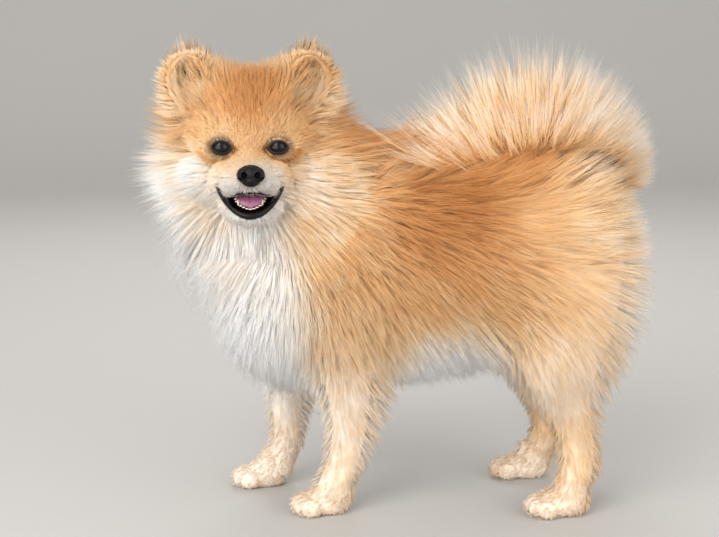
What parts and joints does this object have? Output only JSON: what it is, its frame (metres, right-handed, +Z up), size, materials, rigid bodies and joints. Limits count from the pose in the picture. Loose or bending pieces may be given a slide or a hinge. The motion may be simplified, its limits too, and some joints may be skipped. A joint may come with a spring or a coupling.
{
  "type": "standing pomeranian dog",
  "caption": "Still, life-size model of a standing pomeranian with its head turned to its left, mouth open and tail curled over its back.",
  "frame": {"origin": "on the floor under the centre of the outline, seen from above", "axes": "+Z up, the body points along -Y, the dog's own left side is +X and its face looks along +X"},
  "size_m": [0.203, 0.4054, 0.366],
  "materials": {
    "orange_coat": "long stand-off hair, golden orange",
    "cream_coat": "long stand-off hair, cream",
    "white_coat": "soft hair, off-white",
    "eye": "wet gloss, very dark brown",
    "nose_leather": "moist, finely pebbled, black",
    "lip_leather": "moist black lip with white teeth",
    "tongue": "moist, pink",
    "claw": "dark horn"
  },
  "bodies": {
    "root": {"head": "orange_coat", "ear_left": "orange_coat", "ear_right": "orange_coat", "eye_left": "eye", "eye_right": "eye", "nose": "nose_leather", "lower_jaw": "lip_leather", "tongue": "tongue", "neck": "orange_coat", "chest": "white_coat", "trunk": "orange_coat", "tail": "cream_coat", "foreleg_left": "cream_coat", "thigh_left": "orange_coat", "hindleg_left": "cream_coat", "foreleg_right": "cream_coat", "thigh_right": "orange_coat", "hindleg_right": "cream_coat", "forepaw_left": "white_coat", "forepaw_right": "white_coat", "hindpaw_left": "white_coat", "hindpaw_right": "white_coat", "claw_forepaw_left_1": "claw", "claw_forepaw_left_2": "claw", "claw_forepaw_left_3": "claw", "claw_forepaw_left_4": "claw", "claw_forepaw_right_1": "claw", "claw_forepaw_right_2": "claw", "claw_forepaw_right_3": "claw", "claw_forepaw_right_4": "claw", "claw_hindpaw_left_1": "claw", "claw_hindpaw_left_2": "claw", "claw_hindpaw_left_3": "claw", "claw_hindpaw_left_4": "claw", "claw_hindpaw_right_1": "claw", "claw_hindpaw_right_2": "claw", "claw_hindpaw_right_3": "claw", "claw_hindpaw_right_4": "claw"}
  },
  "joints": []
}
